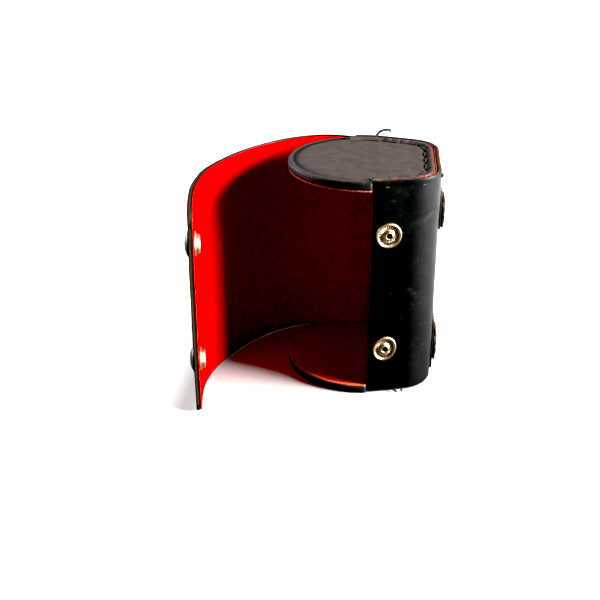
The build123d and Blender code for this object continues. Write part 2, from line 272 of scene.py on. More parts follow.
def rim_stations():
    """Round the D outline: centre, radius and normal direction, so that any inset outline can be drawn."""
    front, back = np.array([CORNER_X, -CORNER_Y]), np.array([CORNER_X, CORNER_Y])
    centre = np.zeros(2)
    rows = [(centre, ROUND_R, a) for a in (75, 80, 85, 90, 95, 100, 104, 106.2, 107.4)]
    rows += [(centre, ROUND_R, a) for a in np.arange(110, 275, 3)]
    rows += [(centre, ROUND_R, a) for a in (275, 276.6, 277.8, 281)]
    for corner, start, after in ((front, centre, 285), (back, front, 360)):
        r0 = ROUND_R if start is centre else CORNER_R
        count = 24 if start is centre else 60
        for k in range(count):
            t = k / count
            rows.append((start * (1 - t) + corner * t, r0 * (1 - t) + CORNER_R * t, after))
        rows += [(corner, CORNER_R, a) for a in np.linspace(after, after + 75, 26)[:-1]]
    for k in range(24):
        t = k / 24
        rows.append((back * (1 - t), CORNER_R * (1 - t) + ROUND_R * t, 435))
    return rows


def end_plate(name, round_rows, wall_rows, materials, base, edge_slot, mirror=False, rough=None, spread=0.0):
    """A D-shaped plate from two edge sections, one for the round side and one for the walled side.

    Sections are (inset, height) from the middle of the underside, out and round the edge, to the middle
    of the top. spread widens the edge towards the wall on the back side. edge_slot gives a face's material
    from its row, its normal and how far round it is.
    """
    rim = rim_stations()
    points, uvs, runs = [], [], []
    along = 0.0
    previous = None
    for centre, radius, normal in rim:
        turn = normal % 360
        walled = float(turn < NOTCH_BACK or turn > NOTCH_FRONT)
        wider = spread * float(smooth((turn - 25) / 20)) if turn < NOTCH_BACK else 0.0
        edge = centre + unit(normal) * radius
        along += 0 if previous is None else float(np.linalg.norm(edge - previous))
        previous = edge
        runs.append(along)
        for (d0, z0), (d1, z1) in zip(round_rows, wall_rows):
            inset = d0 * (1 - walled) + (d1 + base - wider * max(0.0, 1 - d1 / 3.5)) * walled
            z = z0 * (1 - walled) + z1 * walled
            at = centre + unit(normal) * (radius - min(inset, STRAIGHT_IN))
            if inset > STRAIGHT_IN:
                at = at + (np.array(PLATE_MIDDLE) - at) * min(1.0, (inset - STRAIGHT_IN) / 25)
            if rough:
                z += rough(at[0], at[1], inset, walled, along, z)
            points.append((at[0], at[1], PLATE_TOP - z if mirror else z))
            climb = z if inset < 2 else 0
            uvs.append((at[0] + climb, at[1] + inset * 0.01 + climb))
    wide = len(round_rows)
    faces, slots = [], []
    for i in range(len(rim)):
        a, b = i * wide, ((i + 1) % len(rim)) * wide
        for k in range(wide - 1):
            quad = (a + k, b + k, b + k + 1, a + k + 1)
            faces.append(quad[::-1] if mirror else quad)
            slots.append(edge_slot(k, rim[i][2] % 360, runs[i]))
    return make_mesh(name, points, faces, materials, slots, uvs)


def lathe(name, profile, place, materials, around=48, shape=None, material_at=None):
    """A turned piece from (radius, height) points; place puts its +Z axis where it belongs."""
    points, uvs, faces, slots = [], [], [], []
    run = [0.0]
    for (r0, z0), (r1, z1) in zip(profile, profile[1:]):
        run.append(run[-1] + math.hypot(r1 - r0, z1 - z0))
    for j in range(around):
        angle = 2 * math.pi * j / around
        for k, (r, z) in enumerate(profile):
            if shape:
                r, z = shape(r, z, angle)
            at = place @ Vector((r * math.cos(angle), r * math.sin(angle), z))
            points.append(tuple(at))
            uvs.append((r * math.cos(angle), r * math.sin(angle) + run[k] * 0.2))
    n = len(profile)
    for j in range(around):
        a, b = j * n, ((j + 1) % around) * n
        for k in range(n - 1):
            faces.append((a + k, b + k, b + k + 1, a + k + 1))
            slots.append(material_at(k, j) if material_at else 0)
    return make_mesh(name, points, faces, materials, slots, uvs)


def twisted_thread(name, lines, radius, material, pitch=2.2):
    """Two-ply thread along each line of 3-D points, flattened at its ends."""
    points, faces, uvs = [], [], []
    sides = 10
    for line in lines:
        line = [Vector(p) for p in line]
        base = len(points)
        run = 0.0
        for i, p in enumerate(line):
            ahead = (line[min(i + 1, len(line) - 1)] - line[max(i - 1, 0)]).normalized()
            up = Vector((0, 0, 1)) if abs(ahead.z) < 0.9 else Vector((1, 0, 0))
            side = ahead.cross(up).normalized()
            up = side.cross(ahead)
            run += 0 if i == 0 else (p - line[i - 1]).length
            end = min(i, len(line) - 1 - i)
            fat = radius * (0.25, 0.75, 1.0)[min(end, 2)]
            for k in range(sides):
                a = 2 * math.pi * k / sides
                r = fat * (1 + 0.2 * math.cos(2 * a - 2 * math.pi * run / pitch))
                points.append(tuple(p + side * (r * math.cos(a)) + up * (r * math.sin(a))))
                uvs.append((run, r * a))
        for i in range(len(line) - 1):
            for k in range(sides):
                a, b = base + i * sides, base + (i + 1) * sides
                n = (k + 1) % sides
                faces.append((a + k, a + n, b + n, b + k))
        for i, flip in ((0, True), (len(line) - 1, False)):
            cap = tuple(base + i * sides + k for k in range(sides))
            faces.append(cap[::-1] if flip else cap)
    return make_mesh(name, points, faces, [material], None, uvs)


# ---------------------------------------------------------------- materials
class Shader:
    """A short way to write node materials."""

    def __init__(self, name):
        self.material = bpy.data.materials.new(name)
        self.material.use_nodes = True
        self.tree = self.material.node_tree
        self.surface = self.tree.nodes["Principled BSDF"]

    def node(self, kind, **values):
        made = self.tree.nodes.new(kind)
        for key, value in values.items():
            setattr(made, key, value)
        return made

    def put(self, socket, value):
        if isinstance(value, bpy.types.NodeSocket):
            self.tree.links.new(value, socket)
        else:
            socket.default_value = value

    def uv(self, scale=(1, 1, 1)):
        mapping = self.node("ShaderNodeMapping")
        self.put(mapping.inputs["Vector"], self.node("ShaderNodeTexCoord").outputs["UV"])
        mapping.inputs["Scale"].default_value = scale
        return mapping.outputs[0]

    def place(self, scale=(1, 1, 1)):
        mapping = self.node("ShaderNodeMapping")
        self.put(mapping.inputs["Vector"], self.node("ShaderNodeTexCoord").outputs["Object"])
        mapping.inputs["Scale"].default_value = scale
        return mapping.outputs[0]

    def noise(self, vector, scale, detail=3, rough=0.55, distort=0.0):
        n = self.node("ShaderNodeTexNoise")
        self.put(n.inputs["Vector"], vector)
        n.inputs["Scale"].default_value = scale
        n.inputs["Detail"].default_value = detail
        n.inputs["Roughness"].default_value = rough
        n.inputs["Distortion"].default_value = distort
        return n.outputs["Fac"]

    def cells(self, vector, scale, feature="F1"):
        n = self.node("ShaderNodeTexVoronoi", feature=feature)
        self.put(n.inputs["Vector"], vector)
        n.inputs["Scale"].default_value = scale
        return n.outputs["Distance"]

    def ramp(self, factor, low, high, a=0.0, b=1.0):
        n = self.node("ShaderNodeMapRange")
        self.put(n.inputs["Value"], factor)
        for key, value in (("From Min", low), ("From Max", high), ("To Min", a), ("To Max", b)):
            n.inputs[key].default_value = value
        return n.outputs[0]

    def mix(self, factor, a, b):
        n = self.node("ShaderNodeMix", data_type="RGBA")
        self.put(n.inputs["Factor"], factor)
        for socket, value in ((n.inputs[6], a), (n.inputs[7], b)):
            self.put(socket, value if isinstance(value, bpy.types.NodeSocket) else (*value, 1.0))
        return n.outputs[2]

    def math(self, kind, a, b=0.0):
        n = self.node("ShaderNodeMath", operation=kind)
        self.put(n.inputs[0], a)
        self.put(n.inputs[1], b)
        return n.outputs[0]

    def bump(self, height, strength, distance, below=None):
        n = self.node("ShaderNodeBump")
        self.put(n.inputs["Height"], height)
        n.inputs["Strength"].default_value = strength
        n.inputs["Distance"].default_value = distance
        if below is not None:
            self.put(n.inputs["Normal"], below)
        return n.outputs[0]

    def set(self, **values):
        for key, value in values.items():
            socket = self.surface.inputs[key.replace("_", " ")]
            if isinstance(value, tuple):
                value = (*value, 1.0)
            self.put(socket, value)
        return self.material


def leather_material(name, dark, light, gloss, scuff, shine, mottle=0.0):
    """Black finished leather: fine grain, faint creases, greyish scuffs, and uneven dye if mottle is set."""
    m = Shader(name)
    uv = m.uv()
    dye = m.math("ADD", m.math("MULTIPLY", m.noise(uv, 24, 6, 0.8), 0.7),
                 m.math("MULTIPLY", m.noise(uv, 1.6, 5, 0.6, 0.4), 0.3))
    deep, pale = (tuple(c * (1 + k * mottle) for c in dark) for k in (-1, 1))
    grain = m.cells(uv, 26)
    fine = m.noise(uv, 45, 3)
    folds = m.noise(m.uv((0.6, 1.0, 1)), 1.3, 4, 0.6, 0.6)
    wear = m.noise(uv, 2.4, 8, 0.72, 0.4)
    scuffed = m.ramp(wear, 0.60, 0.78, 0.0, scuff)
    colour = m.mix(scuffed, m.mix(m.ramp(dye, 0.43, 0.57), deep, pale), light)
    rough = m.math("ADD", m.ramp(m.noise(uv, 0.9, 4), 0.3, 0.7, gloss, gloss + 0.12),
                   m.math("MULTIPLY", scuffed, 0.5))
    normal = m.bump(grain, 0.3, 0.00015, m.bump(fine, 0.3, 0.0001, m.bump(folds, 0.5, 0.0005)))
    return m.set(Base_Color=colour, Roughness=rough, Normal=normal, Specular_IOR_Level=shine)


def raw_edge_material():
    """The leather's cut edge: brown-grey, layered and fibrous."""
    m = Shader("raw_edge")
    uv = m.uv()
    fibres = m.noise(m.uv((1.2, 6, 1)), 14, 6, 0.7)
    patches = m.noise(uv, 3.0, 4)
    colour = m.mix(m.ramp(fibres, 0.35, 0.65), (0.003, 0.0018, 0.001), (0.05, 0.030, 0.014))
    colour = m.mix(m.ramp(patches, 0.45, 0.65), colour, (0.004, 0.003, 0.0025))
    return m.set(Base_Color=colour, Roughness=0.9, Normal=m.bump(fibres, 0.6, 0.0004),
                 Specular_IOR_Level=0.0)


def felt_material(name="red_felt", speckle=0.0):
    """Short red pile, matted in places, with a soft sheen."""
    m = Shader(name)
    uv = m.uv()
    fuzz = m.noise(uv, 15, 8, 0.78, 0.4)
    mats = m.noise(uv, 2.2, 5, 0.65, 0.5)
    strands = m.noise(m.uv((1, 0.25, 1)), 55, 4, 0.7, 1.2)
    colour = m.mix(m.ramp(fuzz, 0.36, 0.64), (0.08, 0.0001, 0.0001), (0.44, 0.0001, 0.0002))
    colour = m.mix(m.ramp(mats, 0.40, 0.70, 0.0, 0.45), colour, (0.14, 0.0001, 0.0001))
    if speckle:
        lint = m.ramp(m.noise(uv, 16, 3, 0.6), 0.5, 0.56, 0, speckle)
        colour = m.mix(lint, colour, (0.42, 0.25, 0.15))
    height = m.math("ADD", fuzz, m.math("MULTIPLY", strands, 0.7))
    normal = m.bump(height, 0.8, 0.0009, m.bump(mats, 0.3, 0.0008))
    return m.set(Base_Color=colour, Roughness=0.95, Normal=normal, Specular_IOR_Level=0.0,
                 Sheen_Weight=0.1, Sheen_Roughness=0.5, Sheen_Tint=(1.0, 0.0, 0.0))


def metal_material(name, colour, rough, tarnish):
    """Plated metal, worn warm, with pits and dull patches."""
    m = Shader(name)
    uv = m.uv()
    patches = m.noise(uv, 6, 6, 0.65, 0.3)
    pits = m.noise(uv, 40, 5, 0.7)
    shade = m.mix(m.ramp(patches, 0.4, 0.7), colour, tarnish)
    return m.set(Base_Color=shade, Metallic=1.0, Normal=m.bump(pits, 0.3, 0.0002),
                 Roughness=m.ramp(patches, 0.3, 0.7, rough, rough + 0.25))


def lacquer_material():
    """Black lacquer, chipped through to warm metal."""
    m = Shader("black_lacquer")
    uv = m.uv()
    chips = m.ramp(m.noise(uv, 9, 8, 0.75, 0.5), 0.60, 0.66)
    colour = m.mix(chips, (0.012, 0.011, 0.011), (0.32, 0.24, 0.16))
    return m.set(Base_Color=colour, Metallic=chips, Roughness=m.ramp(chips, 0, 1, 0.32, 0.5),
                 Normal=m.bump(m.noise(uv, 20, 4), 0.25, 0.0002))


def thread_material():
    """Waxed black thread with fine strands along it."""
    m = Shader("waxed_thread")
    strands = m.noise(m.uv((1, 5, 1)), 30, 5, 0.7)
    colour = m.mix(m.ramp(strands, 0.4, 0.7), (0.002, 0.0018, 0.0017), (0.014, 0.012, 0.011))
    return m.set(Base_Color=colour, Roughness=0.6, Normal=m.bump(strands, 0.5, 0.0003),
                 Specular_IOR_Level=0.12)


def board_material():
    """Brown flecked fibreboard."""
    m = Shader("fibreboard")
    at = m.place((1, 1, 3))
    flecks = m.noise(at, 700, 6, 0.7)
    colour = m.mix(m.ramp(flecks, 0.35, 0.65), (0.22, 0.14, 0.08), (0.42, 0.31, 0.2))
    return m.set(Base_Color=colour, Roughness=0.9, Normal=m.bump(flecks, 0.4, 0.0003))


def floor_material():
    """The studio floor.

    To the camera it is mid grey round the case, as painted shade that deepens the shadow between flap and
    case; paler left of the flap, as painted light that hides the flap's cast shadow there; and glowing white
    further out, as painted light. To bounced light it is nearly black round the case and mid grey far to the
    right, so little light comes back up into the open case.
    """
    m = Shader("studio_floor")
    at = m.place()
    faint = m.noise(at, 30, 4)
    seen = m.node("ShaderNodeLightPath").outputs["Is Camera Ray"]
    parts = m.node("ShaderNodeSeparateXYZ")
    m.put(parts.inputs[0], at)
    far_right = m.ramp(m.math("ADD", parts.outputs["X"], parts.outputs["Y"]), 0.0, 0.30)
    bounced = m.mix(far_right, (0.035, 0.035, 0.035), (0.5, 0.5, 0.5))
    # mid grey round the case: painted shade that deepens the shadow between flap and case
    near = m.mix(faint, (0.30, 0.28, 0.275), (0.34, 0.32, 0.315))
    # paler left of the flap: painted light that hides the flap's cast shadow
    pale = m.mix(m.ramp(parts.outputs["X"], -0.09, -0.115), near, (0.9, 0.9, 0.9))
    colour = m.mix(seen, bounced, pale)
    # the white glow further out is painted light
    round_spot = m.node("ShaderNodeTexGradient", gradient_type="SPHERICAL")
    m.put(round_spot.inputs["Vector"], at)
    far = m.ramp(round_spot.outputs["Fac"], 0.55, 0.0)
    glow = m.math("MULTIPLY", seen, far)
    return m.set(Base_Color=colour, Roughness=0.9, Specular_IOR_Level=0.0, Emission_Color=(1.0, 1.0, 1.0),
                 Emission_Strength=glow)


WALL_BLACK = leather_material("wall_leather", (0.0012, 0.0011, 0.0011), (0.03, 0.027, 0.025),
                              gloss=0.34, scuff=0.35, shine=0.035)
# the plate leather is a lighter copy of the black leather with no shine of its own: its brownish grey is
# painted sheen for the light the flat plates catch, while its mottled dye and scuffs are the leather's own
PLATE_LEATHER_WITH_SHEEN = leather_material("plate_leather_painted_sheen", (0.0235, 0.0182, 0.0166), (0.07, 0.054, 0.046),
                               gloss=0.50, scuff=0.5, shine=0.0, mottle=0.22)
BEAD_BLACK = leather_material("plate_edge", (0.005, 0.0042, 0.004), (0.09, 0.072, 0.062),
                              gloss=0.46, scuff=0.9, shine=0.08)
# the crease leather is the black leather, darker than the plate, laid into creases and pucker valleys as
# painted shade
CREASE_SHADE_BLACK = leather_material("crease_painted_shade", (0.0015, 0.0012, 0.0011), (0.02, 0.017, 0.015),
                              gloss=0.8, scuff=0.2, shine=0.05)
RAW = raw_edge_material()
RED = felt_material()
RED_EDGE = felt_material("felt_edge", 0.8)
NICKEL = metal_material("nickel", (0.36, 0.28, 0.19), 0.24, (0.22, 0.155, 0.09))
GILT = metal_material("worn_dish", (0.26, 0.18, 0.09), 0.25, (0.07, 0.04, 0.02))
# near-black metal for the inside of the post's hole and one side of each pressed rib of the dish
DARK_METAL = metal_material("dark_hole_metal", (0.02, 0.015, 0.01), 0.6, (0.008, 0.006, 0.005))
STEEL = metal_material("spring_steel", (0.5, 0.49, 0.47), 0.3, (0.3, 0.27, 0.24))
LACQUER = lacquer_material()
THREAD = thread_material()
BOARD = board_material()


# ---------------------------------------------------------------- the wall
def constant(value):
    return lambda s: value


def wall_pieces():
    """The fixed sheet round the flat end, with its lining, up to the back notch."""
    path = case_path(HALF_T)
    end = path.s[-1]
    stations = stations_between(0, end, 1.5, fine_start=True)

    def hand_worn(s, z):
        """Shallow dents, one slanting crease, one nick, and the groove under the stitched rim."""
        away = smooth(s / 12) * smooth((end - s) / 12)
        dents = 0.16 * lumpy(s, 0, z, 26) + 0.05 * lumpy(s, 5, z, 9)
        bend = (z - 96 - 0.48 * (s - 21.5)) / 1.0
        crease = -0.45 * math.exp(-bend * bend) * math.exp(-((s - 27) / 7) ** 4)
        nick = -0.5 * math.exp(-((s - 23) / 1.0) ** 2 - ((z - 58.5) / 1.6) ** 2)
        shoulder = -0.16 * math.exp(-((z - 115.6) / 0.8) ** 2)
        return away * (dents + crease + nick) + shoulder * smooth(s / 4) * smooth((end - s) / 12)

    leather = curled_sheet("wall_leather_skin", path, stations, LEATHER, constant(WALL_LOW),
                           constant(WALL_HIGH), [WALL_BLACK, RAW], hand_worn, pinch=(1, 0), row=1.2)
    placed(leather, "case", "black_leather", "wall_leather")
    felt_high = lambda s: WALL_HIGH - 0.35 + 0.2 * lumpy(s, 2, 0, 5) - 1.5 * smooth((s - 84) / 10)
    felt_stations = stations_between(0.5, end, 1.5, fine_start=True)
    felt = curled_sheet("wall_felt_skin", path, felt_stations, FELT, constant(WALL_LOW + 0.3), felt_high,
                        [RED, RED_EDGE], pinch=(1, 0))
    placed(felt, "case", "red_felt", "wall_felt")


# ---------------------------------------------------------------- the flap
FLAP, ARCS, FLAP_END = flap_path()


def rounding(s, radius):
    """How far a corner of that radius at the flap's free end cuts in at length s."""
    past = min(max(0.0, s - (FLAP_END - radius)), radius)
    return radius - math.sqrt(max(0.0, radius ** 2 - past ** 2))


def flap_high(s):
    """The flap's top edge, which falls towards its free end."""
    slope = np.interp(s, [FLAP_START, 10, 42, 84, 98, 120, FLAP_END],
                      [118.5, 118.3, 117.1, 117.0, 116.7, 114.6, 110.0])
    return float(slope - rounding(s, 7))


def flap_low(s):
    return float(0.25 + rounding(s, 3))


def flap_push(s, z):
    """Old leather: shallow waves, stronger towards the free edge, and a pull at the snaps."""
    free = smooth((s - 70) / 60)
    waves = 0.25 * lumpy(s, 9, z, 34) + 0.55 * free * lumpy(s * 0.6, 3, z, 30)
    for height in SNAPS.values():
        away = ((s - ARCS[-1] - SNAP_TO_HINGE) / 11) ** 2 + ((z - height) / 11) ** 2
        waves *= 1 - math.exp(-away * away)
    return waves * smooth((s - FLAP_START) / 12)


def flap_pieces():
    """One piece of leather and one of felt for each hinge line, cut halfway to the hinge lines beside it."""
    cuts = [FLAP_START] + between(ARCS) + [FLAP_END]
    bodies = ["case"] + [f"flap_{k}" for k in range(1, 7)] + ["flap_tip"]
    felt_high = lambda s: flap_high(s) - 0.5 + 0.2 * lumpy(s, 2, 0, 4)
    felt_low = lambda s: flap_low(s) + 0.4 + 0.15 * lumpy(s, 8, 0, 4)
    for k, hinge in enumerate(ARCS):
        start, end, name = cuts[k], cuts[k + 1], bodies[k + 1]
        last = name == "flap_tip"
        before, after = (5, 6) if k == 0 else (7, 7)
        near_hinge = (FLAP.at(hinge - before), FLAP.at(hinge + after))
        stations = stations_between(start, end, 1.4, fine_end=last)
        leather = curled_sheet(name + "_leather_skin", FLAP, stations, LEATHER, flap_low, flap_high,
                               [WALL_BLACK, RAW], flap_push, (0, last), bevel=1.0)
        stations = stations_between(start, end - 0.9 if last else end, 1.4, fine_end=last)
        felt = curled_sheet(name + "_felt_skin", FLAP, stations, FELT, felt_low, felt_high,
                            [RED, RED_EDGE], flap_push, (0, last))
        for piece, slot, node in ((leather, "black_leather", "_leather"), (felt, "red_felt", "_felt")):
            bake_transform(piece)
            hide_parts(name + node)


# ---------------------------------------------------------------- the end plates
ROUND_SIDE = [(17, 116.8), (4, 116.8), (1.3, 116.8), (1.2, 114.1), (0.6, 113.95), (0.12, 114.05),
              (0, 114.5), (0, 115.6), (0.02, 116.7), (0.12, 117.3), (0.4, 117.75), (0.9, 118.05),
              (1.6, 118.18), (2.4, 118.12), (3.1, 117.92), (3.5, 117.5), (3.9, 117.45), (4.4, 117.78),
              (5.2, 117.95), (6.4, 118.0), (8.5, 118.0), (11.5, 118.0), (15, 118.0), (19, 118.0),
              (24, 118.0), (29, 118.0), (34, 118.0), (39.7, 118.0)]
WALL_SIDE = [(17, 116.8), (4, 116.8), (1.3, 116.8), (1.2, 114.1), (0.6, 113.95), (0.12, 114.05),
             (0, 114.5), (0, 115.6), (0.02, 117.2), (0.05, 118.1), (0.25, 118.6), (0.7, 118.88),
             (1.3, 118.93), (2.0, 118.9), (2.6, 118.75), (3.05, 118.45), (3.35, 118.05), (3.7, 117.65),
             (4.1, 117.4), (4.7, 117.4), (5.1, 117.7), (5.7, 118.0), (8, 118.0), (12, 118.0),
             (18, 118.0), (25, 118.0), (30, 118.0), (36.5, 118.0)]
FOOT_SIDE = [(17, 116.8), (4, 116.8), (1.3, 116.8), (1.2, 114.1), (0.6, 113.95), (0.12, 114.05),
             (0, 114.5), (0, 116.4), (-1.4, 116.75), (-1.85, 116.8), (-2.0, 117.1), (-1.85, 117.7),
             (-1.4, 117.95), (0, 118.0), (1, 118.0), (2, 118.0), (3, 118.0), (3.8, 117.9),
             (4.1, 117.5), (4.7, 117.5), (5.0, 117.9), (5.7, 118.0), (8, 118.0), (12, 118.0),
             (18, 118.0), (25, 118.0), (30, 118.0), (36.5, 118.0)]
LINING = [(39.7, 113.0), (35, 113.0), (30, 113.0), (25, 113.0), (20, 113.0), (15, 113.0), (10, 113.0),
          (6, 113.0), (2, 113.0), (0.6, 113.02), (0.3, 113.2), (0.3, 113.75), (0.6, 113.93), (2, 113.95),
          (10, 113.95), (20, 113.95), (30, 113.95), (39.7, 113.95)]


def pulled_in(along):
    """1 at the middle of each pucker the seam pulls into the plate's edge, falling to 0 between them."""
    return max(0.0, math.cos(along * 2 * math.pi / 4.7 + 2.0 * lumpy(along, 7, 0, 11))) ** 6


def worn_plate(x, y, inset, walled, along, z):
    """Low lumps all over the top, a wavy edge, and radial puckers where the seam is pulled tight."""
    flat = smooth((inset - 3.5) / 5) if z > 117 else 0.0
    lumps = 0.10 * lumpy(x, y, 0, 17) * flat
    band = math.exp(-((inset - PLATE_INSET - 2.4) / 1.9) ** 2) if walled and z > 117.5 else 0.0
    puckers = band * (0.3 * lumpy(along, 0, 3, 2.3) - 0.6 * pulled_in(along))
    wavy = 0.10 * lumpy(along, 3, z, 3.5) if inset < 3.2 and not walled else 0.0
    return lumps + puckers + wavy


def plate_slot(k, turn, along):
    """Cut edge, dark skirt, and the crease darkened as painted shade on the round side; along the seam, the
    crease and the pucker valleys darkened as painted shade.

    k counts the section's runs from the middle of the underside outwards.
    """
    if 2 < k < 5:
        return 1
    if NOTCH_BACK < turn < NOTCH_FRONT:
        # round side: dark skirt and bead, and the crease darkened as painted shade
        return 2 if 4 < k < 12 else 3 if 12 < k < 16 else 0
    if 4 < k < 8:
        return 2
    # the middle of each pucker is darkened as painted shade
    if turn < 70 and 12 < k < 17 and pulled_in(along) > 0.7:
        return 3
    # the groove beside the seam is darkened as painted shade
    return 3 if 16 < k < 20 and turn <= NOTCH_BACK else 0


def felt_slot(k, turn, along):
    """The lining's cut edge is the second material."""
    return 1 if 7 < k < 12 else 0


def fuzzy(x, y, inset, walled, along, z):
    """Felt that lies unevenly."""
    return 0.12 * lumpy(x, y, z, 3.0) + 0.1 * lumpy(x, y, z, 11)


def plate_pieces():
    skins = [PLATE_LEATHER_WITH_SHEEN, RAW, BEAD_BLACK, CREASE_SHADE_BLACK]
    top = end_plate("top_leather_skin", ROUND_SIDE, WALL_SIDE, skins, PLATE_INSET, plate_slot,
                    rough=worn_plate, spread=0.85)
    placed(top, "case", "black_leather", "top_leather")
    flat_round = [(d, min(z, PLATE_TOP - 0.02)) for d, z in ROUND_SIDE]
    bottom = end_plate("bottom_leather_skin", flat_round, FOOT_SIDE, skins, PLATE_INSET, plate_slot,
                       mirror=True)
    placed(bottom, "case", "black_leather", "bottom_leather")
    for name, mirror in (("top_felt", False), ("bottom_felt", True)):
        felt = end_plate(name + "_skin", LINING, LINING, [RED, RED_EDGE], PLATE_INSET + 0.1, felt_slot,
                         mirror=mirror, rough=fuzzy)
        placed(felt, "case", "red_felt", name)


def stitch_lines(path, height, start=3.0, long=STITCH_LONG, pitch=STITCH_PITCH, dip=0.5):
    """A row of stitches along a path; dip is how far each stitch's ends sink."""
    lines = []
    while start + long < path.s[-1]:
        line = []
        for t in np.linspace(0, 1, 13):
            point, _ = path.at(start + long * t)
            line.append((point[0], point[1], height - dip * (2 * t - 1) ** 6))
        lines.append(line)
        start += pitch
    return lines


def seam_pieces():
    """The stitched rims, the short stitches that show outside, and the loose ends."""
    path = case_path(STITCH_INSET, -80, 97, 0.6)
    top = twisted_thread("top_seam", stitch_lines(path, PLATE_TOP + 0.05), 0.46, THREAD)
    placed(top, "case", "thread", "top_thread")
    bottom = twisted_thread("bottom_seam", stitch_lines(path, 0.45, dip=-0.2), 0.4, THREAD)
    placed(bottom, "case", "thread", "bottom_thread")
    outside = case_path(-0.05, -80, 97, 0.6)
    side_lines = stitch_lines(outside, 115.5, start=4.0, long=2.2, pitch=19.0, dip=0.0)
    side = twisted_thread("side_stitches", side_lines, 0.26, THREAD, 1.6)
    placed(side, "case", "thread")
    loose = [(4.9, 37.2, 117.9), (5.4, 37.9, 118.8), (5.9, 38.4, 119.5), (6.6, 38.6, 120.4),
             (7.5, 38.6, 121.3), (8.6, 38.5, 121.9), (9.8, 38.4, 122.3), (11.0, 38.4, 122.4),
             (12.1, 38.5, 122.4), (12.9, 38.5, 122.6), (13.7, 38.6, 123.0)]
    fork = [(11.6, 38.4, 122.4), (12.5, 38.4, 122.2), (13.1, 38.3, 121.7), (13.5, 38.3, 121.2)]
    curl = [(38.6, -17.5, 114.0), (39.2, -17.8, 114.8), (39.6, -18.4, 115.8), (39.6, -19.2, 116.6),
            (39.0, -19.8, 116.9), (38.4, -20.2, 116.5)]
    lumps = [[(19.0 + k * 0.5, -37.0, 1.0 + 0.5 * math.sin(k)) for k in range(6)],
             [(23.0 + k * 0.4, -36.1, 1.0 + 0.4 * math.cos(k)) for k in range(5)]]
    tail = twisted_thread("loose_thread", [loose, fork, curl] + lumps, 0.72, THREAD, 3.0)
    placed(tail, "case", "thread")


# ---------------------------------------------------------------- snaps
def recolour(node, material):
    """Gives a CAD part that stays in view its material."""
    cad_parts[node].data.materials.clear()
    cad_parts[node].data.materials.append(material)


def frame_of(origin, heading, height, flip=False):
    """Puts +Z along the outward normal of an upright face with that heading, at that height.

    flip points it inwards.
    """
    along = unit(heading)
    normal = unit(heading - 90) * (-1 if flip else 1)
    x, z = Vector((*along, 0)), Vector((*normal, 0))
    y = z.cross(x)
    turn = Matrix((x, y, z)).transposed().to_4x4()
    return Matrix.Translation(Vector((origin[0], origin[1], height))) @ turn


def dish_slot(k, j):
    """Bright rim, worn dish, and near-black metal on one side of each pressed rib, by run k and direction j.
    """
    if k < 8:
        return 0
    return 2 if k in (9, 10, 11) and j % 6 < 3 else 1


def stud_pieces(which, height):
    """A stud on the wall: a nickel dish with pressed ribs, a split hollow post and the flange inside."""
    place = frame_of(unit(SLOPE - 90) * ROUND_R + unit(SLOPE) * SNAP_ALONG, SLOPE, height)
    crushed = which == "lower"

    def pressed(r, z, angle):
        wide = r
        if 3.4 < r < 5.2 and 0.3 < z < 1.0:
            z += 0.26 * max(0.0, math.cos(26 * angle))
        if crushed:
            wide = r * (1 - 0.05 * math.cos(2 * angle + 0.6))
            z *= 0.82
        return wide, z

    rim = [(1.9, 0.1), (6.25, 0.1), (6.5, 0.35), (6.55, 0.9), (6.45, 1.35), (6.15, 1.6), (5.8, 1.58),
           (5.5, 1.35), (5.3, 1.0), (5.15, 0.62), (4.9, 0.52), (4.4, 0.55), (3.9, 0.5), (3.5, 0.48),
           (3.0, 0.5), (2.5, 0.5)]
    dish = lathe(which + "_dish_skin", rim, place, [NICKEL, GILT, DARK_METAL], 156, pressed, dish_slot)
    placed(dish, "case", "nickel", which + "_stud_dish")

    def split(r, z, angle):
        petals = 1 + 0.2 * math.cos(5 * angle) if r < 1.5 else 1.0
        return r * petals, z * (0.88 if crushed else 1.0)

    post = [(3.05, 0.5), (3.0, 0.58), (2.6, 0.75), (2.35, 1.0), (2.45, 1.4), (2.3, 1.8), (2.0, 2.1),
            (1.7, 2.18), (1.5, 2.0), (1.4, 1.6), (1.3, 0.8), (1.0, 0.4), (0.0, 0.4)]
    stud = lathe(which + "_post_skin", post, place, [NICKEL, DARK_METAL], 60, split,
                 lambda k, j: 1 if k > 7 else 0)
    placed(stud, "case", "nickel", which + "_stud_post")
    inside = -(PLATE_INSET + 0.75)
    flange = [(1.7, inside), (3.2, inside), (3.1, inside - 0.3), (2.6, inside - 0.5), (0.9, inside - 0.5)]
    back = lathe(which + "_post_flange", flange, place, [NICKEL], 40)
    placed(back, "case", "nickel")
    recolour(which + "_stud_washer", STEEL)


